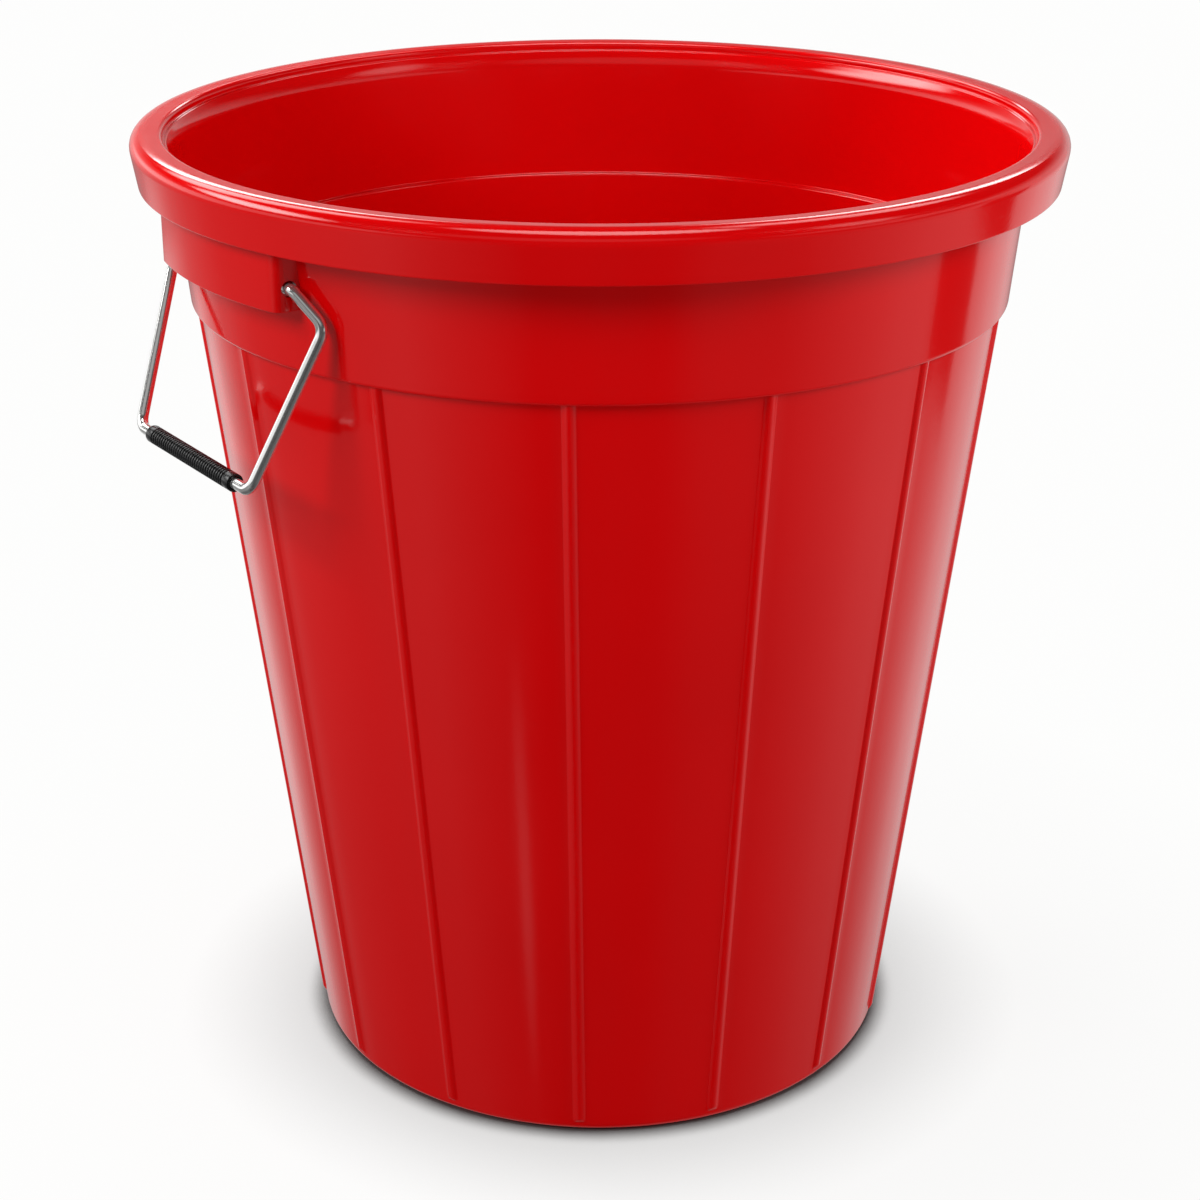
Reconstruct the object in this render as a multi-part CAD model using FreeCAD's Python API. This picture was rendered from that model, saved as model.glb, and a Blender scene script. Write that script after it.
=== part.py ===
import FreeCAD, Part
import math
import os

V = FreeCAD.Vector

# Tub, heights from the floor up and radii from the middle axis
tub_height = 543.0
base_radius = 171.0
base_round = 6.0
body_top_radius = 223.5
ledge_drop = 93.0
ledge_step = 4.0
ledge_round = 2.2
ledge_fillet = 1.0
collar_flare = 6.5
wall = 3.5
floor_thickness = 4.0
floor_fillet = 9.0
inner_step_rise = 12.0
inner_step_round = 1.5

# Turned-down rim, an upside-down channel round the mouth
skirt_depth = 27.0
skirt_reach = 18.0
skirt_draft = 4.2
skirt_wall = 2.8
skirt_edge_round = 0.8
rim_round = 6.5
rim_wall = 3.2
crown_fall = 1.5
mouth_step = 4.8
mouth_depth = 5.0
mouth_round = 2.6
bead_round = 3.0

# Upright ribs on the body
rib_count = 14
rib_width = 6.4
rib_height = 1.8
rib_flank = 0.3
rib_start = 6.5
rib_taper = 3.5

# Handle bosses under the rim
boss_length = 128.0
boss_drop = 31.5
boss_wall = 3.0
boss_room = 2.0
boss_corner_round = 6.0

# Wire bails, hung in the end walls of the bosses
wire_diameter = 6.0
pivot_drop = 20.0
pin_length = 6.0
pin_clearance = 0.3
pin_wall_gap = 0.5
pin_reach = 3.8
pin_bend = 5.0
knee_reach = 19.4
knee_drop = 15.2
knee_gap = 0.3
knee_bend = 9.0
bar_drop = 102.5
bar_reach = 14.6
corner_bend = 8.0
left_lean = 7.0

# Ribbed grips that turn on the wire
grip_length = 95.0
grip_wall = 1.5
grip_clearance = 0.3
grip_end_gap = 7.5
grip_collar_length = 6.0
grip_ring_count = 34
grip_groove_depth = 0.9
grip_groove_share = 0.6

# Heights and radii that follow from the sizes above
skirt_z = tub_height - skirt_depth
ledge_z = tub_height - ledge_drop
seat_z = tub_height - mouth_depth
roof_z = tub_height - crown_fall - rim_wall
shoulder_z = seat_z - rim_wall
inner_step_z = ledge_z + inner_step_rise
collar_foot_radius = body_top_radius + ledge_step
collar_top_radius = collar_foot_radius + collar_flare
skirt_foot_radius = collar_top_radius + skirt_reach
rim_radius = skirt_foot_radius + skirt_draft
wire_radius = wire_diameter / 2
boss_half = boss_length / 2

# Heights where the one moulding is parted into nodes
floor_top_z = floor_thickness + floor_fillet / 4
wall_top_z = ledge_z + inner_step_rise / 2
collar_top_z = shoulder_z - bead_round


def body_radius(z):
    """Outer radius of the tapered body at height z."""
    return base_radius + (body_top_radius - base_radius) * z / ledge_z


def collar_radius(z):
    """Outer radius of the collar above the ledge at height z."""
    return collar_foot_radius + collar_flare * (z - ledge_z) / (skirt_z - ledge_z)


mouth_radius = collar_radius(seat_z) - wall + mouth_step

# Pivot line of a bail: its pins clear the collar at their inner ends
pivot_z = skirt_z - pivot_drop
pin_end = boss_half - boss_wall - pin_length
pivot_radius = math.sqrt((collar_radius(pivot_z) + pin_wall_gap + wire_radius) ** 2 - pin_end ** 2)
boss_inner_radius = math.hypot(pivot_radius, boss_half - boss_wall) + wire_radius + boss_room
boss_radius = boss_inner_radius + boss_wall
boss_z = skirt_z - boss_drop
boss_root = math.sqrt((collar_radius(boss_z) - wall) ** 2 - boss_half ** 2) - wall

# At the stop of its swing a bail has its knees beside the collar and its bar off the body
knee_z = pivot_z - knee_drop
knee_spread = boss_half + knee_reach
knee_radius = math.sqrt((collar_radius(knee_z) + knee_gap + wire_radius) ** 2 - knee_spread ** 2)
bar_z = pivot_z - bar_drop
bar_radius = pivot_radius + bar_reach
corner_spread = grip_length / 2 + grip_end_gap + corner_bend


def rounded_path(points, radii, closed):
    """Wire through points, with an arc of the given radius at each corner that has one."""
    count = len(points)
    entries = []
    for i in range(count):
        point = points[i]
        if radii[i] == 0 or (not closed and i in (0, count - 1)):
            entries.append((point, point, point))
            continue
        back = points[i - 1] - point
        ahead = points[(i + 1) % count] - point
        back.normalize()
        ahead.normalize()
        half = back.getAngle(ahead) / 2
        reach = radii[i] / math.tan(half)
        middle = back + ahead
        middle.normalize()
        depth = radii[i] / math.sin(half) - radii[i]
        entries.append((point + back * reach, point + middle * depth, point + ahead * reach))
    edges = []
    for i in range(count):
        start, middle, end = entries[i]
        if not start.isEqual(end, 1e-6):
            edges.append(Part.Arc(start, middle, end).toShape())
        if i == count - 1 and not closed:
            break
        after = entries[(i + 1) % count][0]
        if not end.isEqual(after, 1e-6):
            edges.append(Part.LineSegment(end, after).toShape())
    return Part.Wire(edges)


def turned(section, axis):
    """Solid of revolution of a closed section given as (radius, place along the axis, corner radius)."""
    if axis == "Z":
        points = [V(r, 0, z) for r, z, corner in section]
        direction = V(0, 0, 1)
    else:
        points = [V(r, y, 0) for r, y, corner in section]
        direction = V(0, 1, 0)
    face = Part.Face(rounded_path(points, [corner for r, place, corner in section], True))
    return face.revolve(V(0, 0, 0), direction, 360)


def make_floor_and_wall():
    """Floor and ribbed body wall up to the middle of the ledge, parted just above the floor."""
    section = [
        (0, 0, 0),
        (base_radius, 0, base_round),
        (body_top_radius, ledge_z, ledge_fillet),
        (collar_foot_radius, ledge_z, ledge_round),
        (collar_radius(wall_top_z), wall_top_z, 0),
        (body_radius(wall_top_z) - wall, wall_top_z, 0),
        (body_radius(floor_thickness) - wall, floor_thickness, floor_fillet),
        (0, floor_thickness, 0),
    ]
    one_rib = rib()
    ribs = []
    for i in range(rib_count):
        piece = one_rib.copy()
        piece.rotate(V(0, 0, 0), V(0, 0, 1), i * 360.0 / rib_count)
        ribs.append(piece)
    cup = turned(section, "Z").multiFuse(ribs).removeSplitter()
    slab = Part.makeCylinder(rim_radius, floor_top_z + wall, V(0, 0, -wall))
    return cup.common(slab), cup.cut(slab)


def rib():
    """One crowned rib at azimuth 0, rooted in the wall, from its tapered foot up into the ledge."""
    slope = math.atan2(body_top_radius - base_radius, ledge_z)
    along = V(math.sin(slope), 0, math.cos(slope))
    outward = V(math.cos(slope), 0, -math.sin(slope))
    side = V(0, rib_width / 2, 0)
    heel = V(base_radius, 0, 0)
    start = (rib_start - rib_taper / 5) / math.cos(slope)
    length = (ledge_z + ledge_step / 2) / math.cos(slope) - start
    foot = heel + along * start
    root = foot - outward * (wall / 2)
    flank = foot + outward * rib_flank
    crown = Part.Arc(flank - side, foot + outward * rib_height, flank + side).toShape()
    sides = Part.makePolygon([flank + side, root + side, root - side, flank - side])
    bar = Part.Face(Part.Wire([crown] + sides.Edges)).extrude(along * length)
    tip = heel + along * (rib_start / math.cos(slope))
    low = tip - along * (2 * rib_taper) - outward * (2 * rib_height)
    high = tip + along * (2 * rib_taper) + outward * (2 * rib_height)
    corner = tip - along * (2 * rib_taper) + outward * (2 * rib_height)
    wedge = Part.Face(Part.makePolygon([low, high, corner, low]))
    wedge.translate(V(0, -rib_width, 0))
    return bar.cut(wedge.extrude(V(0, 2 * rib_width, 0)))


def make_collar():
    """Flared collar from the middle of the ledge up to the rim."""
    section = [
        (collar_radius(wall_top_z), wall_top_z, 0),
        (collar_radius(collar_top_z), collar_top_z, 0),
        (collar_radius(collar_top_z) - wall, collar_top_z, 0),
        (collar_radius(inner_step_z) - wall, inner_step_z, 0),
        (body_radius(inner_step_z) - wall, inner_step_z, inner_step_round),
        (body_radius(wall_top_z) - wall, wall_top_z, 0),
    ]
    return turned(section, "Z")


def make_rim():
    """Stepped mouth, crown and turned-down skirt."""
    section = [
        (collar_radius(collar_top_z), collar_top_z, 0),
        (collar_radius(shoulder_z), shoulder_z, 0),
        (mouth_radius + rim_wall, roof_z, 0),
        (rim_radius - skirt_wall, roof_z, rim_round - rim_wall),
        (skirt_foot_radius - skirt_wall, skirt_z, skirt_edge_round),
        (skirt_foot_radius, skirt_z, skirt_edge_round),
        (rim_radius, tub_height - crown_fall, rim_round),
        (mouth_radius, tub_height, mouth_round),
        (mouth_radius, seat_z, 0),
        (collar_radius(seat_z) - wall, seat_z, bead_round),
        (collar_radius(collar_top_z) - wall, collar_top_z, 0),
    ]
    return turned(section, "Z")


def inside_collar():
    """Solid filling the collar and the rim's inner leg out to the faces that a boss stands on."""
    section = [
        (0, boss_z - 2 * wall, 0),
        (collar_radius(boss_z - 2 * wall), boss_z - 2 * wall, 0),
        (collar_radius(shoulder_z), shoulder_z, 0),
        (mouth_radius + rim_wall, roof_z, 0),
        (0, roof_z, 0),
    ]
    return turned(section, "Z")


def make_boss():
    """Boss of the +X handle: a curved front and two end walls under the rim, with a pin hole in each end."""
    height = roof_z - boss_z
    block = Part.makeBox(boss_radius, boss_length, height, V(boss_root, -boss_half, boss_z))
    block = block.common(Part.makeCylinder(boss_radius, height, V(0, 0, boss_z)))
    upright = []
    for edge in block.Edges:
        ends = [vertex.Point for vertex in edge.Vertexes]
        if len(ends) == 2 and abs(ends[0].z - ends[1].z) > height / 2 and ends[0].x > pivot_radius:
            upright.append(edge)
    block = block.makeFillet(boss_corner_round, upright)
    pocket_half = boss_half - boss_wall
    pocket_z = boss_z - height / 2
    pocket = Part.makeBox(boss_radius, 2 * pocket_half, 2 * height, V(boss_root, -pocket_half, pocket_z))
    pocket = pocket.common(Part.makeCylinder(boss_inner_radius, 2 * height, V(0, 0, pocket_z)))
    hole_radius = wire_radius + pin_clearance
    hole = Part.makeCylinder(hole_radius, boss_length * 2, V(pivot_radius, -boss_length, pivot_z), V(0, 1, 0))
    return block.cut(pocket).cut(inside_collar()).cut(hole)


def make_bail():
    """Bent wire of the +X handle: pin, knee, leg, bar and back again."""
    half = [
        (V(pivot_radius, pin_end, pivot_z), 0),
        (V(pivot_radius, boss_half + pin_reach, pivot_z), pin_bend),
        (V(knee_radius, knee_spread, knee_z), knee_bend),
        (V(bar_radius, corner_spread, bar_z), corner_bend),
    ]
    other = [(V(point.x, -point.y, point.z), bend) for point, bend in reversed(half)]
    path = half + other
    spine = rounded_path([point for point, bend in path], [bend for point, bend in path], False)
    ring = Part.Wire([Part.makeCircle(wire_radius, path[0][0], V(0, 1, 0))])
    return spine.makePipeShell([ring], True, False)


def make_grip():
    """Ribbed sleeve of the +X handle, turned about the bar."""
    bore = wire_radius + grip_clearance
    outer = bore + grip_wall
    pitch = (grip_length - 2 * grip_collar_length) / grip_ring_count
    groove = pitch * grip_groove_share
    section = [(bore, -grip_length / 2, 0), (outer, -grip_length / 2, grip_groove_depth)]
    for i in range(grip_ring_count):
        middle = -grip_length / 2 + grip_collar_length + (i + 0.5) * pitch
        section.append((outer, middle - groove / 2, 0))
        section.append((outer - grip_groove_depth, middle - groove / 6, 0))
        section.append((outer - grip_groove_depth, middle + groove / 6, 0))
        section.append((outer, middle + groove / 2, 0))
    section.append((outer, grip_length / 2, grip_groove_depth))
    section.append((bore, grip_length / 2, 0))
    sleeve = turned(section, "Y")
    sleeve.translate(V(bar_radius, 0, bar_z))
    return sleeve


def leaned(shape):
    """Copy of a +X handle piece swung out from its stop by the left handle's lean."""
    copy = shape.copy()
    copy.rotate(V(pivot_radius, 0, pivot_z), V(0, -1, 0), left_lean)
    return copy


def opposite(shape):
    """Copy of a +X handle piece turned to the -X side."""
    copy = shape.copy()
    copy.rotate(V(0, 0, 0), V(0, 0, 1), 180)
    return copy


tub_floor, tub_wall = make_floor_and_wall()
right_boss = make_boss()
right_bail = make_bail()
right_grip = make_grip()
nodes = {
    "tub_floor": tub_floor,
    "tub_wall": tub_wall,
    "tub_collar": make_collar(),
    "tub_rim": make_rim(),
    "left_boss": opposite(right_boss),
    "right_boss": right_boss,
    "left_bail": opposite(leaned(right_bail)),
    "left_grip": opposite(leaned(right_grip)),
    "right_bail": right_bail,
    "right_grip": right_grip,
}

os.makedirs("parts", exist_ok=True)
for name, shape in nodes.items():
    print(name, "valid", shape.isValid(), "solids", len(shape.Solids), "volume", round(shape.Volume))
    shape.exportStep("parts/" + name + ".step")
print("pivot line at radius", round(pivot_radius, 3), "height", round(pivot_z, 3))
for name in ("left_grip", "right_grip"):
    middle = nodes[name].BoundBox.Center
    print(name, "bar at", round(middle.x, 3), round(middle.y, 3), round(middle.z, 3))
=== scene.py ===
import logging
import math
from dataclasses import dataclass
from enum import Enum
from typing import Any, Optional, Sequence, Union

import bmesh
import bpy
from mathutils import Matrix, Vector


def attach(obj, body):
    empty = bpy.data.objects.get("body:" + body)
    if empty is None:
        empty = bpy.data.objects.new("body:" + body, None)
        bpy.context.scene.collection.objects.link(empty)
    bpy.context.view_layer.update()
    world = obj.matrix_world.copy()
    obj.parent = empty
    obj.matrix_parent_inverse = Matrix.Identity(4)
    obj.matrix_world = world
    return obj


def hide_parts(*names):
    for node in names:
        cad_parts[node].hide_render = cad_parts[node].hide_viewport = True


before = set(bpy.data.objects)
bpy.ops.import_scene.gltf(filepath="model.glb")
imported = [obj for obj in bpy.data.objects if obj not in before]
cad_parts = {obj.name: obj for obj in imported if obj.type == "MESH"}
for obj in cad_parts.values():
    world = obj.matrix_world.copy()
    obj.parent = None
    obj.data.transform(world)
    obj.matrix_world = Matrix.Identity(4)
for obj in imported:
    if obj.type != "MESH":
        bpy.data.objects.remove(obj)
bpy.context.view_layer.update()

LOG = logging.getLogger("drum")
UP = Vector((0.0, 0.0, 1.0))
ORIGIN = Vector((0.0, 0.0, 0.0))

# A millimetre, the distance at which doubles merge, and the slack in finding a point, all in metres
MM = 0.001
TIDY = 1e-5
NEAR = 1e-4

Colour = tuple[float, float, float, float]
Corner = tuple[float, float, float]
Limits = tuple[float, float]


def turn(bm: bmesh.types.BMesh, angle: float, axis: Union[str, Vector]) -> None:
    """Turns a whole mesh about an axis through the origin.

    Args:
        bm: The mesh.
        angle: In radians.
        axis: The axis.
    """
    bmesh.ops.rotate(bm, verts=bm.verts, cent=ORIGIN, matrix=Matrix.Rotation(angle, 3, axis))


class Side(Enum):
    """Which of the two handles a piece belongs to."""

    LEFT = "left"
    RIGHT = "right"

    def place(self, bm: bmesh.types.BMesh) -> None:
        """Turns a +X piece to this side."""
        turn(bm, math.pi if self is Side.LEFT else 0.0, UP)


@dataclass(frozen=True)
class Swing:
    """Where a handle hangs at its stop: its pivot line and its bar, in millimetres.

    The left handle leans out from its stop, by so many degrees.
    """

    radius: float = 229.019
    height: float = 496.0
    bar_radius: float = 243.619
    bar_height: float = 393.5
    left_lean: float = 7.0

    @property
    def pivot(self) -> Vector:
        """Middle of the pivot line, in metres."""
        return Vector((self.radius, 0.0, self.height)) * MM

    @property
    def bar(self) -> Vector:
        """Middle of the bar, in metres."""
        return Vector((self.bar_radius, 0.0, self.bar_height)) * MM

    def hang(self, bm: bmesh.types.BMesh, side: Side) -> None:
        """Leans a +X handle piece as its side stands, then turns it to that side.

        Args:
            bm: The piece at the stop of its swing.
            side: Where it goes.
        """
        lean = math.radians(self.left_lean) if side is Side.LEFT else 0.0
        bmesh.ops.rotate(bm, verts=bm.verts, cent=self.pivot, matrix=Matrix.Rotation(-lean, 3, "Y"))
        side.place(bm)


Value = Union["Socket", float]


class Socket:
    """One output of a shader node, with arithmetic that adds Math nodes."""

    def __init__(self, sheet: "NodeSheet", output: Optional[bpy.types.NodeSocket]) -> None:
        """Keeps the sheet that the socket lives on.

        Args:
            sheet: The node tree wrapper.
            output: The socket itself, or nothing for a node that ends the tree.
        """
        self.sheet = sheet
        self.output = output

    def _math(self, operation: str, first: Value, second: Value) -> "Socket":
        """Adds one Math node.

        Args:
            operation: The Math node's operation.
            first: Its first value.
            second: Its second value.

        Returns:
            The result.
        """
        return self.sheet.node("ShaderNodeMath", {"operation": operation}, {0: first, 1: second})

    def __add__(self, other: Value) -> "Socket":
        """Sum."""
        return self._math("ADD", self, other)

    def __radd__(self, other: Value) -> "Socket":
        """Sum with a number on the left."""
        return self._math("ADD", other, self)

    def __sub__(self, other: Value) -> "Socket":
        """Difference."""
        return self._math("SUBTRACT", self, other)

    def __rsub__(self, other: Value) -> "Socket":
        """Difference from a number on the left."""
        return self._math("SUBTRACT", other, self)

    def __mul__(self, other: Value) -> "Socket":
        """Product."""
        return self._math("MULTIPLY", self, other)

    def __rmul__(self, other: Value) -> "Socket":
        """Product with a number on the left."""
        return self._math("MULTIPLY", other, self)


class NodeSheet:
    """A node tree with one method that adds any node."""

    def __init__(self, tree: bpy.types.NodeTree) -> None:
        """Empties the tree.

        Args:
            tree: A material's or the world's node tree.
        """
        self.tree = tree
        tree.nodes.clear()

    def node(self, kind: str, settings: dict[str, Any], inputs: dict[Union[str, int], Any],
             output: Union[str, int] = 0) -> Socket:
        """Adds a node.

        Args:
            kind: The node's type.
            settings: Properties set before the sockets, with "stops" for a ramp's places and colours.
            inputs: Values or sockets by input name or number.
            output: The output wanted.

        Returns:
            The wanted output.
        """
        made = self.tree.nodes.new(kind)
        for name, setting in settings.items():
            if name == "stops":
                self._stops(made.color_ramp, setting)
            else:
                setattr(made, name, setting)
        for name, given in inputs.items():
            if isinstance(given, Socket):
                self.tree.links.new(given.output, made.inputs[name])
            else:
                made.inputs[name].default_value = given
        return Socket(self, made.outputs[output] if made.outputs else None)

    @staticmethod
    def _stops(ramp: bpy.types.ColorRamp, stops: Sequence[tuple[float, tuple[float, ...]]]) -> None:
        """Sets a ramp's stops.

        Args:
            ramp: The colour ramp.
            stops: Place and colour of each stop.
        """
        while len(ramp.elements) < len(stops):
            ramp.elements.new(1.0)
        for element, (place, colour) in zip(ramp.elements, stops):
            element.position = place
            element.color = colour

    def here(self) -> Socket:
        """Object coordinates, in metres."""
        return self.node("ShaderNodeTexCoord", {}, {}, "Object")

    def stretched(self, scale: tuple[float, float, float]) -> Socket:
        """Object coordinates stretched by axis.

        Args:
            scale: Factor along each axis.

        Returns:
            The stretched coordinates.
        """
        return self.node("ShaderNodeMapping", {}, {"Vector": self.here(), "Scale": scale})

    def noise(self, where: Socket, waves: float, octaves: float) -> Socket:
        """Soft noise.

        Args:
            where: Coordinates.
            waves: Waves per metre.
            octaves: How many finer waves lie on top.

        Returns:
            Values from 0 to 1.
        """
        inputs = {"Vector": where, "Scale": waves, "Detail": octaves}
        return self.node("ShaderNodeTexNoise", {}, inputs, "Fac")

    def blend(self, share: Value, first: Any, second: Any) -> Socket:
        """Mixes two colours.

        Args:
            share: How much of the second.
            first: Colour or socket.
            second: Colour or socket.

        Returns:
            The mixed colour.
        """
        return self.node("ShaderNodeMix", {"data_type": "RGBA"}, {0: share, 6: first, 7: second}, 2)

    def spread(self, source: Value, low: float, high: float) -> Socket:
        """Maps a range to 0 to 1, clamped.

        Args:
            source: What is mapped.
            low: Goes to 0.
            high: Goes to 1.

        Returns:
            The mapped value.
        """
        return self.node("ShaderNodeMapRange", {}, {"Value": source, "From Min": low, "From Max": high})

    def bump(self, height: Socket, strength: float, depth: float) -> Socket:
        """Turns a height into a normal.

        Args:
            height: Values from 0 to 1.
            strength: Share of the effect.
            depth: Depth in metres.

        Returns:
            The normal.
        """
        return self.node("ShaderNodeBump", {}, {"Height": height, "Strength": strength, "Distance": depth})

    def seen(self) -> Socket:
        """One where the camera looks straight at it, else zero."""
        return self.node("ShaderNodeLightPath", {}, {}, "Is Camera Ray")


@dataclass(frozen=True)
class Grain:
    """Soft noise over a surface: waves per metre, octaves, and factors that stretch its axes."""

    waves: float
    octaves: float = 3.0
    stretch: Optional[tuple[float, float, float]] = None

    def on(self, sheet: NodeSheet) -> Socket:
        """The noise, from 0 to 1."""
        where = sheet.stretched(self.stretch) if self.stretch else sheet.here()
        return sheet.noise(where, self.waves, self.octaves)


@dataclass(frozen=True)
class Finish:
    """What every finish has: a name and the way its material is started."""

    name: str

    def sheet(self) -> tuple[bpy.types.Material, NodeSheet]:
        """Starts the material.

        Returns:
            The material and its empty node sheet.
        """
        material = bpy.data.materials.new(self.name)
        material.use_nodes = True
        return material, NodeSheet(material.node_tree)

    @staticmethod
    def close(sheet: NodeSheet, inputs: dict[Union[str, int], Any]) -> None:
        """Adds the surface shader and the output.

        Args:
            sheet: The material's nodes.
            inputs: The surface shader's values and links.
        """
        surface = sheet.node("ShaderNodeBsdfPrincipled", {}, inputs, "BSDF")
        sheet.node("ShaderNodeOutputMaterial", {}, {"Surface": surface})


@dataclass(frozen=True)
class MouldedPlastic(Finish):
    """Glossy moulded plastic, with slow colour drift, fine orange peel and faint rub marks."""

    colour: Colour
    deep: Colour
    roughness: float
    gloss: float
    drift: Grain = Grain(7.0)
    drift_limits: Limits = (0.35, 0.7)
    drift_share: float = 0.7
    flow: Grain = Grain(34.0, 4.0, (1.0, 1.0, 0.25))
    rubs: Grain = Grain(60.0, 5.0, (1.0, 1.0, 5.0))
    rub_limits: Limits = (0.66, 0.8)
    dulling: float = 0.05
    peel: Grain = Grain(420.0, 2.0)
    peel_share: float = 0.35
    ripple: Grain = Grain(46.0, 1.0)
    bump_strength: float = 0.12
    bump_depth: float = 0.0004

    def material(self) -> bpy.types.Material:
        """Makes the material.

        Returns:
            The material.
        """
        material, sheet = self.sheet()
        drift = sheet.spread(self.drift.on(sheet), *self.drift_limits)
        flow = self.flow.on(sheet)
        rubs = sheet.spread(self.rubs.on(sheet), *self.rub_limits)
        share = drift * self.drift_share + flow * (1.0 - self.drift_share)
        height = self.peel.on(sheet) * self.peel_share + self.ripple.on(sheet)
        self.close(sheet, {
            "Base Color": sheet.blend(share, self.colour, self.deep),
            "Roughness": self.roughness + flow * self.dulling + rubs * self.dulling,
            "Specular IOR Level": self.gloss,
            "Normal": sheet.bump(height, self.bump_strength, self.bump_depth),
        })
        return material


@dataclass(frozen=True)
class PolishedWire(Finish):
    """Bright drawn wire with fine streaks along it and a little tarnish."""

    colour: Colour
    dull: Colour
    roughness: float
    metallic: float
    streaks: Grain = Grain(900.0, 3.0, (1.0, 1.0, 0.06))
    streak_dulling: float = 0.04
    tarnish: Grain = Grain(130.0, 4.0)
    tarnish_limits: Limits = (0.52, 0.78)
    tarnish_share: float = 0.3
    tarnish_dulling: float = 0.05
    bump_strength: float = 0.01
    bump_depth: float = 0.0002

    def material(self) -> bpy.types.Material:
        """Makes the material.

        Returns:
            The material.
        """
        material, sheet = self.sheet()
        streaks = self.streaks.on(sheet)
        tarnish = sheet.spread(self.tarnish.on(sheet), *self.tarnish_limits)
        self.close(sheet, {
            "Base Color": sheet.blend(tarnish * self.tarnish_share, self.colour, self.dull),
            "Metallic": self.metallic,
            "Roughness": self.roughness + streaks * self.streak_dulling + tarnish * self.tarnish_dulling,
            "Normal": sheet.bump(streaks, self.bump_strength, self.bump_depth),
        })
        return material


@dataclass(frozen=True)
class SatinSleeve(Finish):
    """Satin black sleeve, paler and smoother where a hand rubs its rings."""

    colour: Colour
    rubbed: Colour
    roughness: float
    gloss: float
    grain: Grain = Grain(1500.0)
    grain_share: float = 0.2
    rub: Grain = Grain(90.0)
    rub_limits: Limits = (0.45, 0.75)
    rub_share: float = 0.6
    unevenness: float = 0.1
    bump_strength: float = 0.15
    bump_depth: float = 0.0002

    def material(self) -> bpy.types.Material:
        """Makes the material.

        Returns:
            The material.
        """
        material, sheet = self.sheet()
        grain = self.grain.on(sheet)
        rub = sheet.spread(self.rub.on(sheet), *self.rub_limits)
        share = rub * self.rub_share + grain * self.grain_share
        self.close(sheet, {
            "Base Color": sheet.blend(share, self.colour, self.rubbed),
            "Roughness": self.roughness - rub * self.unevenness + grain * self.unevenness,
            "Specular IOR Level": self.gloss,
            "Normal": sheet.bump(grain, self.bump_strength, self.bump_depth),
        })
        return material


@dataclass(frozen=True)
class PalePaper(Finish):
    """Floor that the camera sees almost white, with a soft shadow. Lengths in metres."""

    colour: Colour
    mottled: Colour
    white: Colour
    mottle: Grain = Grain(3.0)
    near_share: float = 0.9
    near_limits: Limits = (0.25, 0.5)
    shadow_reach: tuple[float, float] = (0.09, 0.02)
    shadow_samples: int = 12
    wide_limits: Limits = (0.45, 1.0)
    wide_dark: float = 0.68
    tight_limits: Limits = (0.42, 0.8)

    def shade(self, sheet: NodeSheet) -> Socket:
        """How much of the white is left beside the drum.

        Args:
            sheet: The floor's nodes.

        Returns:
            One in the open, falling to zero right against the base.
        """
        settings = {"samples": self.shadow_samples}
        wide, tight = (sheet.node("ShaderNodeAmbientOcclusion", settings, {"Distance": reach}, "AO")
                       for reach in self.shadow_reach)
        open_air = sheet.spread(wide, *self.wide_limits)
        return (self.wide_dark + (1.0 - self.wide_dark) * open_air) * sheet.spread(tight, *self.tight_limits)

    def material(self) -> bpy.types.Material:
        """Makes the material.

        Returns:
            The material.
        """
        material, sheet = self.sheet()
        away = sheet.node("ShaderNodeVectorMath", {"operation": "LENGTH"}, {0: sheet.here()}, "Value")
        clear = sheet.spread(away, *self.near_limits)
        share = sheet.seen() * (self.near_share + (1.0 - self.near_share) * clear)
        tint = sheet.blend(self.mottle.on(sheet), self.colour, self.mottled)
        matt = sheet.node("ShaderNodeBsdfPrincipled", {},
                          {"Base Color": tint, "Roughness": 1.0, "Specular IOR Level": 0.0})
        pale = sheet.blend(self.shade(sheet), DARK, self.white)
        glow = sheet.node("ShaderNodeEmission", {}, {"Color": pale, "Strength": 1.0})
        both = sheet.node("ShaderNodeMixShader", {}, {0: share, 1: matt, 2: glow})
        sheet.node("ShaderNodeOutputMaterial", {}, {"Surface": both})
        return material


WHITE = (0.985, 0.985, 0.98, 1.0)
DARK = (0.0, 0.0, 0.0, 1.0)
RED = MouldedPlastic("red_gloss_plastic", colour=(0.60, 0.0005, 0.0012, 1.0),
                     deep=(0.56, 0.0004, 0.0010, 1.0), roughness=0.08, gloss=0.5)
STEEL = PolishedWire("polished_wire", colour=(0.83, 0.83, 0.82, 1.0), dull=(0.66, 0.65, 0.63, 1.0),
                     roughness=0.11, metallic=0.9)
BLACK = SatinSleeve("satin_black_sleeve", colour=(0.004, 0.004, 0.0044, 1.0),
                    rubbed=(0.01, 0.01, 0.0105, 1.0), roughness=0.22, gloss=0.35)
PAPER = PalePaper("pale_paper", colour=(0.65, 0.65, 0.645, 1.0), mottled=(0.66, 0.66, 0.655, 1.0),
                  white=WHITE)


class Rounds(Enum):
    """What a rounding is put on."""

    CORNERS = "VERTICES"
    EDGES = "EDGES"

    def cut(self, bm: bmesh.types.BMesh, geom: list[Any], offset: float, segments: int) -> None:
        """Rounds corners or edges.

        Args:
            bm: The mesh.
            geom: The vertices or the edges.
            offset: How far the rounding reaches, in metres.
            segments: Pieces in the rounding.
        """
        bmesh.ops.bevel(bm, geom=geom, offset=offset, offset_type="OFFSET", segments=segments, profile=0.5,
                        affect=self.value, material=-1, clamp_overlap=False)


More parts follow.
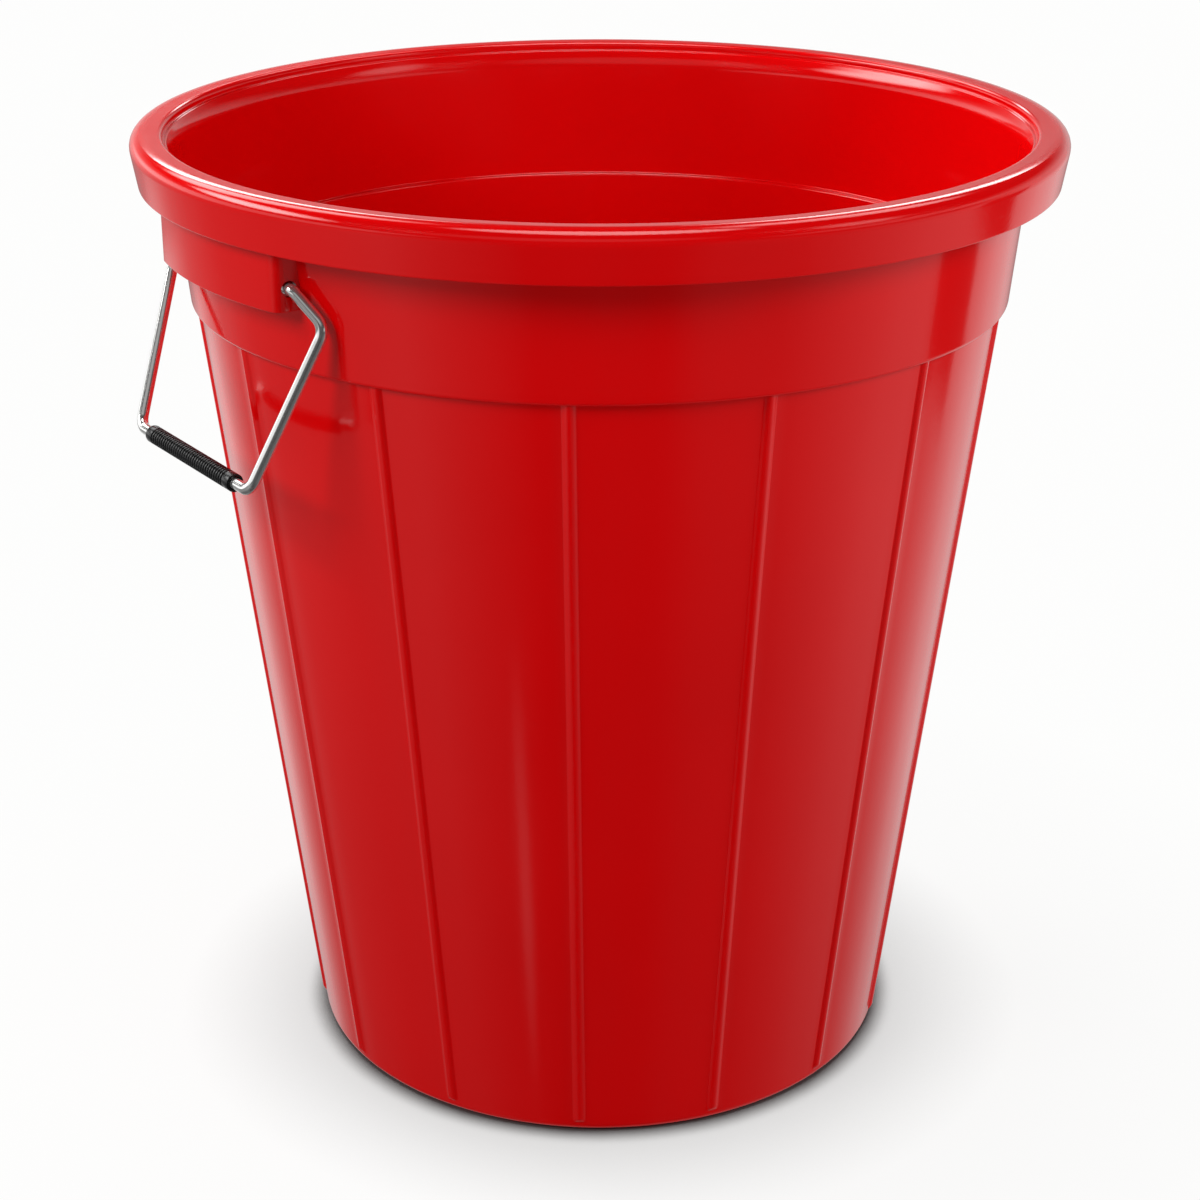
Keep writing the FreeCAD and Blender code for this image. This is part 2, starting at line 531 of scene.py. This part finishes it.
def rounded_wire(bm: bmesh.types.BMesh, corners: Sequence[Corner], segments: int) -> None:
    """Draws an open wire in the XZ plane and rounds its corners.

    Args:
        bm: The mesh.
        corners: Across, up and rounding radius of each corner, in millimetres.
        segments: Pieces in each rounding.
    """
    spots = [Vector((across, 0.0, up)) * MM for across, up, rounding in corners]
    verts = [bm.verts.new(spot) for spot in spots]
    for first, second in zip(verts, verts[1:]):
        bm.edges.new((first, second))
    for index in range(1, len(corners) - 1):
        rounding = corners[index][2] * MM
        if rounding:
            half = (spots[index - 1] - spots[index]).angle(spots[index + 1] - spots[index]) / 2
            Rounds.CORNERS.cut(bm, [verts[index]], rounding / math.tan(half), segments)


def hold_runs(bm: bmesh.types.BMesh, reach: float) -> None:
    """Adds a point near both ends of every long run, so that its shading stays flat.

    Args:
        bm: The mesh with the wire.
        reach: Distance from the ends, in metres.
    """
    for edge in list(bm.edges):
        length = edge.calc_length()
        if length > 4 * reach:
            first, second = edge.verts
            near = bmesh.utils.edge_split(edge, first, reach / length)[1]
            run = next(e for e in near.link_edges if second in e.verts)
            bmesh.utils.edge_split(run, second, reach / run.calc_length())


def close_up(bm: bmesh.types.BMesh) -> None:
    """Merges doubles, then turns every face outwards."""
    bmesh.ops.remove_doubles(bm, verts=bm.verts, dist=TIDY)
    bmesh.ops.recalc_face_normals(bm, faces=bm.faces)


def make_object(name: str, bm: bmesh.types.BMesh) -> bpy.types.Object:
    """Turns a bmesh into a smooth object at the origin.

    Args:
        name: Name of the piece.
        bm: The mesh, which is freed.

    Returns:
        The object.
    """
    mesh = bpy.data.meshes.new(name)
    bm.to_mesh(mesh)
    bm.free()
    mesh.shade_smooth()
    piece = bpy.data.objects.new(name, mesh)
    bpy.context.scene.collection.objects.link(piece)
    return piece


def dress(piece: bpy.types.Object, body: str, finish: bpy.types.Material) -> None:
    """Gives a piece its finish and the body that it moves with.

    Args:
        piece: The piece.
        body: Body of the frame.
        finish: Its material.
    """
    piece.data.materials.clear()
    piece.data.materials.append(finish)
    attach(piece, body)
    LOG.info("%s rides on %s, %d faces", piece.name, body, len(piece.data.polygons))


@dataclass
class Drum:
    """The moulding's round shell: floor, ribbed body, ledge, collar and turned-down rim.

    Sizes are in millimetres.
    """

    height: float = 543.0
    base_radius: float = 171.0
    base_round: float = 6.0
    body_top_radius: float = 223.5
    ledge_drop: float = 93.0
    ledge_step: float = 4.0
    ledge_round: float = 2.2
    ledge_fillet: float = 1.0
    collar_flare: float = 6.5
    wall: float = 3.5
    floor_thickness: float = 4.0
    floor_fillet: float = 9.0
    inner_step_rise: float = 12.0
    inner_step_round: float = 1.5
    skirt_depth: float = 27.0
    skirt_reach: float = 18.0
    skirt_draft: float = 4.2
    skirt_wall: float = 2.8
    skirt_edge_round: float = 0.8
    rim_round: float = 6.5
    rim_wall: float = 3.2
    crown_fall: float = 1.5
    crest_inset: float = 8.0
    crest_fall: float = 0.5
    crest_round: float = 16.0
    mouth_step: float = 4.8
    mouth_depth: float = 5.0
    mouth_round: float = 2.6
    bead_reach: float = 3.0
    bead_drop: float = 6.0
    bead_round: float = 16.0
    bend_round: float = 1.0
    inner_round: float = 0.8
    corner_steps: int = 6
    hold: float = 0.5
    rib_count: int = 14
    rib_width: float = 6.4
    rib_height: float = 1.8
    rib_flank: float = 0.3
    rib_fillet: float = 0.8
    rib_start: float = 6.5
    rib_taper: float = 3.5
    rib_levels: tuple[float, ...] = (0.0, 0.15, 0.35, 0.6, 0.85, 1.05)
    rib_steps: int = 20
    panel_steps: int = 14
    slack: float = 0.01

    @property
    def pitch(self) -> float:
        """Angle from one rib to the next, in radians."""
        return 2 * math.pi / self.rib_count

    @property
    def ledge_z(self) -> float:
        """Height of the ledge."""
        return self.height - self.ledge_drop

    @property
    def skirt_z(self) -> float:
        """Height of the skirt's lower edge."""
        return self.height - self.skirt_depth

    def body_radius(self, z: float) -> float:
        """Outer radius of the tapered body at height z."""
        return self.base_radius + (self.body_top_radius - self.base_radius) * z / self.ledge_z

    def collar_radius(self, z: float) -> float:
        """Outer radius of the collar at height z."""
        foot = self.body_top_radius + self.ledge_step
        return foot + self.collar_flare * (z - self.ledge_z) / (self.skirt_z - self.ledge_z)

    def section(self) -> list[Corner]:
        """Lists the section's corners, from the axis under the floor round to the axis above it.

        Returns:
            Across, up and rounding of each corner.
        """
        seat = self.height - self.mouth_depth
        shoulder = seat - self.rim_wall
        roof = self.height - self.crown_fall - self.rim_wall
        step = self.ledge_z + self.inner_step_rise
        mouth = self.collar_radius(seat) - self.wall + self.mouth_step
        skirt = self.collar_radius(self.skirt_z) + self.skirt_reach
        rim = skirt + self.skirt_draft
        return [
            (0.0, 0.0, 0.0),
            (self.base_radius, 0.0, self.base_round),
            (self.body_top_radius, self.ledge_z, self.ledge_fillet),
            (self.body_top_radius + self.ledge_step, self.ledge_z, self.ledge_round),
            (self.collar_radius(shoulder), shoulder, self.bend_round),
            (mouth + self.rim_wall, roof, self.inner_round),
            (rim - self.skirt_wall, roof, self.rim_round - self.rim_wall),
            (skirt - self.skirt_wall, self.skirt_z, self.skirt_edge_round),
            (skirt, self.skirt_z, self.skirt_edge_round),
            (rim, self.height - self.crown_fall - self.crest_fall, self.rim_round),
            (rim - self.crest_inset, self.height, self.crest_round),
            (mouth, self.height - self.crest_fall, self.mouth_round),
            (mouth, seat, self.inner_round),
            (self.collar_radius(seat) - self.wall + self.bead_reach, seat, self.bend_round),
            (self.collar_radius(seat - self.bead_drop) - self.wall, seat - self.bead_drop, self.bead_round),
            (self.collar_radius(step) - self.wall, step, self.inner_round),
            (self.body_radius(step) - self.wall, step, self.inner_step_round),
            (self.body_radius(self.floor_thickness) - self.wall, self.floor_thickness, self.floor_fillet),
            (0.0, self.floor_thickness, 0.0),
        ]

    def raise_ribs(self, bm: bmesh.types.BMesh) -> None:
        """Swells the columns of the outer wall at each rib into a crowned rib of even width.

        Args:
            bm: The spun shell.
        """
        half = self.rib_width / 2
        for vert in bm.verts:
            z = vert.co.z / MM
            radius = math.hypot(vert.co.x, vert.co.y) / MM
            line = self.body_radius(z)
            if not self.rib_start < z < self.ledge_z + self.slack or radius < line - self.wall / 2:
                continue
            azimuth = math.atan2(vert.co.y, vert.co.x)
            rib = round(azimuth / self.pitch) * self.pitch
            aside = (azimuth - rib) * self.body_top_radius
            if abs(aside) > half + self.rib_fillet + self.slack:
                continue
            if abs(aside) < half:
                swell = self.rib_flank + (self.rib_height - self.rib_flank) * (1 - (aside / half) ** 2)
            else:
                swell = self.rib_flank * max(0.0, 1 - (abs(aside) - half) / self.rib_fillet) ** 2
            foot = min(1.0, (z - self.rib_start) / self.rib_taper)
            radius = max(radius, line + swell * math.sin(foot * math.pi / 2))
            azimuth = rib + aside / line
            vert.co.x = math.cos(azimuth) * radius * MM
            vert.co.y = math.sin(azimuth) * radius * MM

    def build(self) -> bpy.types.Object:
        """Spins the section rib by rib and panel by panel.

        Returns:
            The shell.
        """
        bm = bmesh.new()
        rounded_wire(bm, self.section(), self.corner_steps)
        hold_runs(bm, self.hold * MM)
        for rise in self.rib_levels:
            level = self.rib_start + rise * self.rib_taper
            bmesh.ops.bisect_plane(bm, geom=bm.verts[:] + bm.edges[:], plane_co=UP * level * MM, plane_no=UP)
        band = 2 * (self.rib_width / 2 + self.rib_fillet) / self.body_top_radius
        ring: list[Any] = bm.verts[:] + bm.edges[:]
        turn(bm, -band / 2, UP)
        for _ in range(self.rib_count):
            for angle, steps in ((band, self.rib_steps), (self.pitch - band, self.panel_steps)):
                spun = bmesh.ops.spin(bm, geom=ring, cent=ORIGIN, axis=UP, angle=angle, steps=steps,
                                      use_merge=False, use_duplicate=False)
                ring = spun["geom_last"]
        close_up(bm)
        self.raise_ribs(bm)
        shell = make_object("drum_shell", bm)
        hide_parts("tub_floor", "tub_wall", "tub_collar", "tub_rim")
        return shell

    def make(self, finish: bpy.types.Material) -> None:
        """Builds the shell and dresses it."""
        dress(self.build(), "tub", finish)


@dataclass
class Boss:
    """Hollow block under the rim that a bail hangs in. Sizes in millimetres."""

    side: Side
    drum: Drum
    swing: Swing
    length: float = 128.0
    drop: float = 31.5
    wall: float = 3.0
    room: float = 2.0
    corner_round: float = 6.0
    edge_round: float = 0.6
    hole_radius: float = 4.2
    pin_radius: float = 3.0
    bite: float = 1.2
    cover: float = 4.2
    tuck: float = 2.2
    front_steps: int = 20
    corner_share: float = 0.77
    corner_steps: int = 5
    edge_steps: int = 3
    level: float = 0.5
    drill_sides: int = 40
    drill_share: float = 1.5
    crease: float = 35.0

    def root(self, z: float) -> float:
        """How far out along X an end wall starts, just inside the collar, at height z."""
        return math.sqrt((self.drum.collar_radius(z) - self.bite) ** 2 - (self.length / 2) ** 2)

    def outline(self, bm: bmesh.types.BMesh, low: float) -> None:
        """Draws the lower edge: a curved front, rounded corners and two end walls.

        Args:
            bm: An empty mesh.
            low: Height of the edge.
        """
        half = self.length / 2
        radius = math.hypot(self.swing.radius, half - self.wall) + self.pin_radius + self.room + self.wall
        reach = math.asin(half / radius)
        start = bm.verts.new((math.cos(reach) * radius * MM, -half * MM, low * MM))
        bmesh.ops.spin(bm, geom=[start], cent=ORIGIN, axis=UP, angle=2 * reach, steps=self.front_steps)
        ends = [v for v in bm.verts if len(v.link_edges) == 1]
        for end in ends:
            foot = bm.verts.new((self.root(low) * MM, end.co.y, end.co.z))
            bm.edges.new((end, foot))
        for end in ends:
            Rounds.CORNERS.cut(bm, [end], self.corner_round * MM * self.corner_share, self.corner_steps)

    def lower_edges(self, bm: bmesh.types.BMesh, low: float) -> list[bmesh.types.BMEdge]:
        """Finds where the upright walls turn into their lower face.

        Args:
            bm: The solid walls.
            low: Height of the lower face.

        Returns:
            The edges.
        """
        def turns(edge: bmesh.types.BMEdge) -> bool:
            """Whether one face is level and the other upright."""
            return sorted(abs(face.normal.z) > self.level for face in edge.link_faces) == [False, True]

        return [e for e in bm.edges if turns(e) and all(abs(v.co.z - low * MM) < TIDY for v in e.verts)]

    def shell(self) -> bpy.types.Object:
        """Makes the curved front and the two end walls, with no holes yet.

        Returns:
            The block.
        """
        low = self.drum.skirt_z - self.drop
        high = self.drum.height - self.drum.crown_fall - self.drum.rim_wall + self.tuck
        brow = self.drum.height - self.drum.mouth_depth - self.cover
        bm = bmesh.new()
        self.outline(bm, low)
        raised = bmesh.ops.extrude_edge_only(bm, edges=bm.edges[:])["geom"]
        tops = [v for v in raised if isinstance(v, bmesh.types.BMVert)]
        bmesh.ops.translate(bm, verts=tops, vec=UP * (high - low) * MM)
        for vert in tops:
            if abs(vert.co.x - self.root(low) * MM) < NEAR:
                vert.co.x, vert.co.z = self.root(brow) * MM, brow * MM
        bmesh.ops.recalc_face_normals(bm, faces=bm.faces)
        front = max(bm.faces, key=lambda face: face.calc_center_median().x)
        if front.normal.x < 0:
            bmesh.ops.reverse_faces(bm, faces=bm.faces)
        bmesh.ops.solidify(bm, geom=bm.faces[:], thickness=self.wall * MM)
        close_up(bm)
        Rounds.EDGES.cut(bm, self.lower_edges(bm, low), self.edge_round * MM, self.edge_steps)
        self.side.place(bm)
        return make_object(self.side.value + "_boss_block", bm)

    def drill(self) -> bpy.types.Object:
        """Makes a round bar along the pivot line.

        Returns:
            The bar that cuts the pin holes.
        """
        bm = bmesh.new()
        radius, depth = self.hole_radius * MM, self.length * self.drill_share * MM
        bmesh.ops.create_cone(bm, cap_ends=True, segments=self.drill_sides, radius1=radius, radius2=radius,
                              depth=depth)
        turn(bm, math.pi / 2, "X")
        bmesh.ops.translate(bm, verts=bm.verts, vec=self.swing.pivot)
        self.side.place(bm)
        return make_object(self.side.value + "_boss_drill", bm)

    def build(self) -> bpy.types.Object:
        """Makes the boss and cuts its pin holes.

        Returns:
            The boss.
        """
        block, drill = self.shell(), self.drill()
        cut = block.modifiers.new("pin_holes", "BOOLEAN")
        cut.object = drill
        cut.operation = "DIFFERENCE"
        cut.solver = "EXACT"
        bpy.context.view_layer.update()
        graph = bpy.context.evaluated_depsgraph_get()
        mesh = bpy.data.meshes.new_from_object(block.evaluated_get(graph))
        for spare in (block, drill):
            bpy.data.objects.remove(spare)
        mesh.name = self.side.value + "_boss_shell"
        mesh.set_sharp_from_angle(angle=math.radians(self.crease))
        piece = bpy.data.objects.new(mesh.name, mesh)
        bpy.context.scene.collection.objects.link(piece)
        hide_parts(self.side.value + "_boss")
        return piece

    def make(self, finish: bpy.types.Material) -> None:
        """Builds the boss and dresses it."""
        dress(self.build(), "tub", finish)


@dataclass
class Bail:
    """Bent wire that swings in the boss: pins, knees, legs and bar. Sizes in millimetres."""

    side: Side
    swing: Swing
    wire_radius: float = 3.0
    sides: int = 28
    pin_end: float = 55.0
    pin_corner: float = 67.8
    pin_bend: float = 5.0
    knee: Corner = (218.455, 83.4, 480.8)
    knee_bend: float = 9.0
    bar_corner: float = 63.0
    bar_bend: float = 8.0
    bend_steps: int = 9
    run_shares: tuple[float, ...] = (0.02, 0.96, 0.02)
    end_round: float = 0.5
    end_steps: int = 3

    def stations(self) -> list[tuple[Vector, float]]:
        """Lists the corners of the whole centre line.

        Returns:
            Place and bend radius of each corner, in metres.
        """
        swing = self.swing
        path = (
            ((swing.radius, self.pin_end, swing.height), 0.0),
            ((swing.radius, self.pin_corner, swing.height), self.pin_bend),
            (self.knee, self.knee_bend),
            ((swing.bar_radius, self.bar_corner, swing.bar_height), self.bar_bend),
        )
        half = [(Vector(corner) * MM, bend * MM) for corner, bend in path]
        return half + [(Vector((p.x, -p.y, p.z)), bend) for p, bend in reversed(half)]

    def build(self) -> bpy.types.Object:
        """Runs the wire's ring along each straight and spins it round each bend.

        Returns:
            The wire.
        """
        stops = self.stations()
        place = stops[0][0]
        bm = bmesh.new()
        facing = Matrix.Translation(place) @ Matrix.Rotation(math.pi / 2, 4, "X")
        bmesh.ops.create_circle(bm, cap_ends=False, segments=self.sides, radius=self.wire_radius * MM,
                                matrix=facing)
        edges = bm.edges[:]
        for index in range(1, len(stops)):
            corner, bend = stops[index]
            last = index == len(stops) - 1
            ahead = (corner - stops[index - 1][0]).normalized()
            half = 0.0 if last else ahead.angle(stops[index + 1][0] - corner) / 2
            entry = corner - ahead * bend * math.tan(half)
            run = entry - place
            for share in self.run_shares:
                moved = bmesh.ops.extrude_edge_only(bm, edges=edges)["geom"]
                verts = [v for v in moved if isinstance(v, bmesh.types.BMVert)]
                edges = [e for e in moved if isinstance(e, bmesh.types.BMEdge)]
                bmesh.ops.translate(bm, verts=verts, vec=run * share)
            if last:
                break
            onward = (stops[index + 1][0] - corner).normalized()
            axis = ahead.cross(onward).normalized()
            centre = entry + axis.cross(ahead).normalized() * bend
            spun = bmesh.ops.spin(bm, geom=verts + edges, cent=centre, axis=axis, angle=2 * half,
                                  steps=self.bend_steps, use_duplicate=False)["geom_last"]
            edges = [e for e in spun if isinstance(e, bmesh.types.BMEdge)]
            place = corner + onward * bend * math.tan(half)
        bmesh.ops.holes_fill(bm, edges=bm.edges, sides=0)
        close_up(bm)
        caps = [face for face in bm.faces if len(face.verts) == self.sides]
        Rounds.EDGES.cut(bm, [e for f in caps for e in f.edges], self.end_round * MM, self.end_steps)
        self.swing.hang(bm, self.side)
        wire = make_object(self.side.value + "_bail_wire", bm)
        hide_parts(self.side.value + "_bail")
        return wire

    def make(self, finish: bpy.types.Material) -> None:
        """Builds the wire and dresses it."""
        dress(self.build(), self.side.value + "_bail", finish)


@dataclass
class Grip:
    """Ringed sleeve that turns on the bar. Sizes in millimetres."""

    side: Side
    swing: Swing
    length: float = 95.0
    bore: float = 3.3
    wall: float = 1.5
    collar_length: float = 6.0
    ring_count: int = 34
    groove_depth: float = 0.9
    groove_share: float = 0.6
    groove_round: float = 0.2
    ring_round: float = 0.8
    end_round: float = 0.6
    corner_steps: int = 3
    steps: int = 48

    def section(self) -> list[Corner]:
        """Lists the corners of the sleeve's section.

        Returns:
            Radius, place along the bar and rounding of each corner.
        """
        outer = self.bore + self.wall
        pitch = (self.length - 2 * self.collar_length) / self.ring_count
        groove = pitch * self.groove_share
        half = self.length / 2
        corners = [(self.bore, -half, 0.0), (outer, -half, self.end_round)]
        for index in range(self.ring_count):
            middle = -half + self.collar_length + (index + 0.5) * pitch
            corners += [(outer, middle - groove / 2, self.ring_round),
                        (outer - self.groove_depth, middle, self.groove_round),
                        (outer, middle + groove / 2, self.ring_round)]
        return corners + [(outer, half, self.end_round), (self.bore, half, 0.0)]

    def build(self) -> bpy.types.Object:
        """Spins the ringed section about the bar.

        Returns:
            The sleeve.
        """
        bm = bmesh.new()
        rounded_wire(bm, self.section(), self.corner_steps)
        ends = [v for v in bm.verts if abs(v.co.x - self.bore * MM) < TIDY and len(v.link_edges) == 1]
        bmesh.ops.contextual_create(bm, geom=ends)
        bmesh.ops.spin(bm, geom=bm.verts[:] + bm.edges[:], cent=ORIGIN, axis=UP, angle=2 * math.pi,
                       steps=self.steps, use_merge=True, use_duplicate=False)
        close_up(bm)
        turn(bm, -math.pi / 2, "X")
        bmesh.ops.translate(bm, verts=bm.verts, vec=self.swing.bar)
        self.swing.hang(bm, self.side)
        sleeve = make_object(self.side.value + "_grip_sleeve", bm)
        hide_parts(self.side.value + "_grip")
        return sleeve

    def make(self, finish: bpy.types.Material) -> None:
        """Builds the sleeve and dresses it."""
        dress(self.build(), self.side.value + "_grip", finish)


@dataclass(frozen=True)
class Patch:
    """Soft bright patch that gloss mirrors.

    Its place is in degrees to the camera's right and in rise, and so are its half sizes. The edge is the
    share of it that fades.
    """

    angle: float
    rise: float
    wide: float
    tall: float
    strength: float
    edge: float

    def glow(self, sheet: NodeSheet, angle: Socket, rise: Socket) -> Socket:
        """Brightness of the patch.

        Args:
            sheet: The world's nodes.
            angle: Where a ray points, in radians to the camera's right.
            rise: How steeply it climbs.

        Returns:
            Its strength, fading to nothing at the edge.
        """
        aside = (angle - math.radians(self.angle)) * (1.0 / math.radians(self.wide))
        off = (rise - self.rise) * (1.0 / self.tall)
        return sheet.spread(aside * aside + off * off, 1.0, 1.0 - self.edge) * self.strength


@dataclass(frozen=True)
class Surroundings:
    """White behind everything, soft fill on the drum, and what its gloss mirrors.

    Angles are degrees to the camera's right, and each panel has one and its brightness. The edge of the gap
    is in radians. Rise goes from -1, straight down, to 1, straight up.
    """

    panels: tuple[tuple[float, float], ...] = (
        (-180.0, 0.3), (-150.0, 0.9), (-130.0, 0.35), (-112.0, 0.18),
        (-85.0, 0.19), (-56.0, 0.33), (-39.0, 0.16), (-18.0, 0.0),
        (18.0, 0.0), (30.0, 0.09), (52.0, 0.12), (90.0, 0.5),
        (114.0, 0.46), (135.0, 0.9), (150.0, 0.85), (163.0, 0.3),
    )
    panel_low: float = 0.3
    panel_foot: Limits = (-0.7, -0.48)
    panel_top: Limits = (-0.2, -0.08)
    gap_angles: Limits = (104.0, 122.0)
    gap_edge: Limits = (-0.04, 0.02)
    gap_foot: Limits = (-0.415, -0.39)
    gap_depth: float = 0.92
    flank_angles: Limits = (-125.0, -150.0)
    flank_foot: Limits = (-0.31, -0.27)
    flank_depth: float = 0.6
    patches: tuple[Patch, ...] = (
        Patch(-28.5, -0.66, 2.9, 0.06, 0.5, 1.0),
        Patch(-168.0, 0.33, 9.0, 0.07, 6.0, 0.7),
        Patch(169.0, 0.36, 9.0, 0.07, 6.0, 0.7),
        Patch(-150.0, 0.62, 18.0, 0.24, 4.0, 0.6),
        Patch(150.0, 0.76, 20.0, 0.16, 3.0, 0.6),
        Patch(-98.0, 0.5, 30.0, 0.18, 9.0, 0.8),
        Patch(68.0, 0.5, 14.0, 0.2, 1.6, 0.8),
        Patch(-95.0, 0.06, 62.0, 0.17, 1.0, 0.5),
        Patch(75.0, 0.1, 40.0, 0.15, 0.5, 0.6),
        Patch(-10.0, 0.46, 45.0, 0.22, 0.35, 0.8),
    )
    overhead_glow: float = 5.0
    overhead_rise: Limits = (0.94, 0.97)
    sky: float = 0.03
    backdrop: float = 0.6
    backdrop_reach: Limits = (0.0, 0.5)
    backdrop_rise: Limits = (0.32, 0.08)
    fill: float = 0.05
    fill_below: float = 0.78
    fill_rise: Limits = (-0.3, 0.3)

    def mirrored(self, sheet: NodeSheet, angle: Socket, ahead: Socket, rise: Socket) -> Socket:
        """What gloss mirrors: upright panels low down, a dim sky, a pale backdrop and bright patches.

        Args:
            sheet: The world's nodes.
            angle: Where a ray points, in radians to the camera's right.
            ahead: How far it points away from the camera.
            rise: How steeply it climbs.

        Returns:
            The brightness.
        """
        stops = [(place / 360.0 + 0.5, (glow, glow, glow, 1.0)) for place, glow in self.panels]
        panel = sheet.node("ShaderNodeValToRGB", {"stops": stops}, {0: angle * (0.5 / math.pi) + 0.5})
        near, far = (math.radians(side) for side in self.gap_angles)
        outer, inner = self.gap_edge
        gap = sheet.spread(angle, near + outer, near + inner) * sheet.spread(angle, far + inner, far)
        gap = gap * sheet.spread(rise, *self.gap_foot)
        flank = sheet.spread(angle, *(math.radians(side) for side in self.flank_angles))
        flank = flank * sheet.spread(rise, *self.flank_foot)
        bright = sheet.spread(rise, *self.overhead_rise) * self.overhead_glow
        for patch in self.patches:
            bright = bright + patch.glow(sheet, angle, rise)
        fade = self.panel_low + (1.0 - self.panel_low) * sheet.spread(rise, *self.panel_foot)
        above = sheet.spread(rise, *self.panel_top)
        behind = sheet.spread(ahead, *self.backdrop_reach) * sheet.spread(rise, *self.backdrop_rise)
        below = panel * (1.0 - gap * self.gap_depth) * (1.0 - flank * self.flank_depth) * fade
        return below * (1.0 - above) + above * (self.sky + behind * self.backdrop) + bright

    def build(self, azimuth: float) -> None:
        """Makes the world.

        Args:
            azimuth: Where the camera stands, in degrees.
        """
        world = bpy.data.worlds.new("studio")
        bpy.context.scene.world = world
        world.use_nodes = True
        world.cycles.sampling_method = "NONE"
        sheet = NodeSheet(world.node_tree)
        seen = sheet.seen()
        shiny = sheet.node("ShaderNodeLightPath", {}, {}, "Is Glossy Ray")
        outward = sheet.node("ShaderNodeTexCoord", {}, {}, "Generated")
        heading = sheet.node("ShaderNodeMapping", {},
                             {"Vector": outward, "Rotation": (0.0, 0.0, math.radians(-azimuth))})
        across, ahead, rise = (sheet.node("ShaderNodeSeparateXYZ", {}, {"Vector": heading}, axis)
                               for axis in "XYZ")
        angle = sheet.node("ShaderNodeMath", {"operation": "ARCTAN2"}, {0: across, 1: ahead * -1.0})
        gloss = self.mirrored(sheet, angle, ahead, rise)
        soft = self.fill_below + (self.fill - self.fill_below) * sheet.spread(rise, *self.fill_rise)
        strength = seen + (1.0 - seen) * (shiny * gloss + (1.0 - shiny) * soft)
        glow = sheet.node("ShaderNodeBackground", {}, {"Color": WHITE, "Strength": strength})
        sheet.node("ShaderNodeOutputWorld", {}, {"Surface": glow})


@dataclass(frozen=True)
class Lamp:
    """Square soft lamp: degrees to the camera's right, distance, height and size in metres, and watts."""

    name: str
    angle: float
    distance: float
    height: float
    size: float
    power: float


@dataclass
class Studio:
    """Floor, surroundings, soft lamps and the camera. Lengths in metres, angles in degrees."""

    camera_azimuth: float = -34.7
    camera_distance: float = 1.3672
    camera_height: float = 0.8204
    camera_pitch: float = 22.42
    lens: float = 74.84
    sensor: float = 36.0
    floor_half: float = 6.0
    aim_height: float = 0.3
    lamps: tuple[Lamp, ...] = (
        Lamp("left_key", -52.0, 1.7, 1.5, 0.8, 28.5),
        Lamp("right_key", 55.0, 1.7, 1.5, 0.8, 14.5),
        Lamp("right_side", 75.0, 1.5, 0.9, 0.8, 9.0),
        Lamp("left_side", -110.0, 1.5, 0.9, 0.8, 6.0),
        Lamp("left_back", -130.0, 1.3, 1.5, 0.8, 25.0),
        Lamp("top_back", 180.0, 0.9, 1.9, 0.6, 8.0),
    )

    def around(self, angle: float, distance: float, height: float) -> Vector:
        """Point at an angle to the right of the camera's own direction, seen from the drum.

        Args:
            angle: Degrees from the camera's side towards its right.
            distance: Metres from the drum's axis.
            height: Metres above the floor.

        Returns:
            The point.
        """
        bearing = math.radians(self.camera_azimuth + angle)
        return Vector((math.sin(bearing) * distance, -math.cos(bearing) * distance, height))

    def build_camera(self) -> None:
        """Sets the camera at the photograph's viewing angle."""
        data = bpy.data.cameras.new("view")
        data.lens = self.lens
        data.sensor_width = self.sensor
        data.sensor_fit = "HORIZONTAL"
        camera = bpy.data.objects.new("view", data)
        camera.location = self.around(0.0, self.camera_distance, self.camera_height)
        tilt, heading = math.radians(90.0 - self.camera_pitch), math.radians(self.camera_azimuth)
        camera.rotation_euler = (tilt, 0.0, heading)
        bpy.context.scene.collection.objects.link(camera)
        bpy.context.scene.camera = camera

    def build_lamps(self) -> None:
        """Hangs the soft lamps, each aimed at the middle of the drum."""
        for plan in self.lamps:
            data = bpy.data.lights.new(plan.name + "_softbox", "AREA")
            data.shape = "SQUARE"
            data.size = plan.size
            data.energy = plan.power
            lamp = bpy.data.objects.new(data.name, data)
            lamp.location = self.around(plan.angle, plan.distance, plan.height)
            aim = UP * self.aim_height - lamp.location
            lamp.rotation_euler = aim.to_track_quat("-Z", "Y").to_euler()
            lamp.visible_camera = False
            lamp.visible_glossy = False
            bpy.context.scene.collection.objects.link(lamp)

    def build_floor(self) -> None:
        """Lays the pale floor, which neither shows in the gloss nor lights the drum from below."""
        bm = bmesh.new()
        bmesh.ops.create_grid(bm, x_segments=1, y_segments=1, size=self.floor_half)
        floor = make_object("floor", bm)
        floor.data.materials.append(PAPER.material())
        floor.visible_glossy = False
        floor.visible_diffuse = False

    def build(self) -> None:
        """Makes the whole studio."""
        bpy.context.scene.view_settings.view_transform = "Standard"
        self.build_floor()
        Surroundings().build(self.camera_azimuth)
        self.build_lamps()
        self.build_camera()


def main() -> None:
    """Builds the drum, its handles and the studio."""
    logging.basicConfig(level=logging.INFO, format="%(name)s: %(message)s")
    red, steel, black = RED.material(), STEEL.material(), BLACK.material()
    drum, swing = Drum(), Swing()
    drum.make(red)
    for side in Side:
        Boss(side, drum, swing).make(red)
        Bail(side, swing).make(steel)
        Grip(side, swing).make(black)
    Studio().build()


if __name__ == "__main__":
    main()
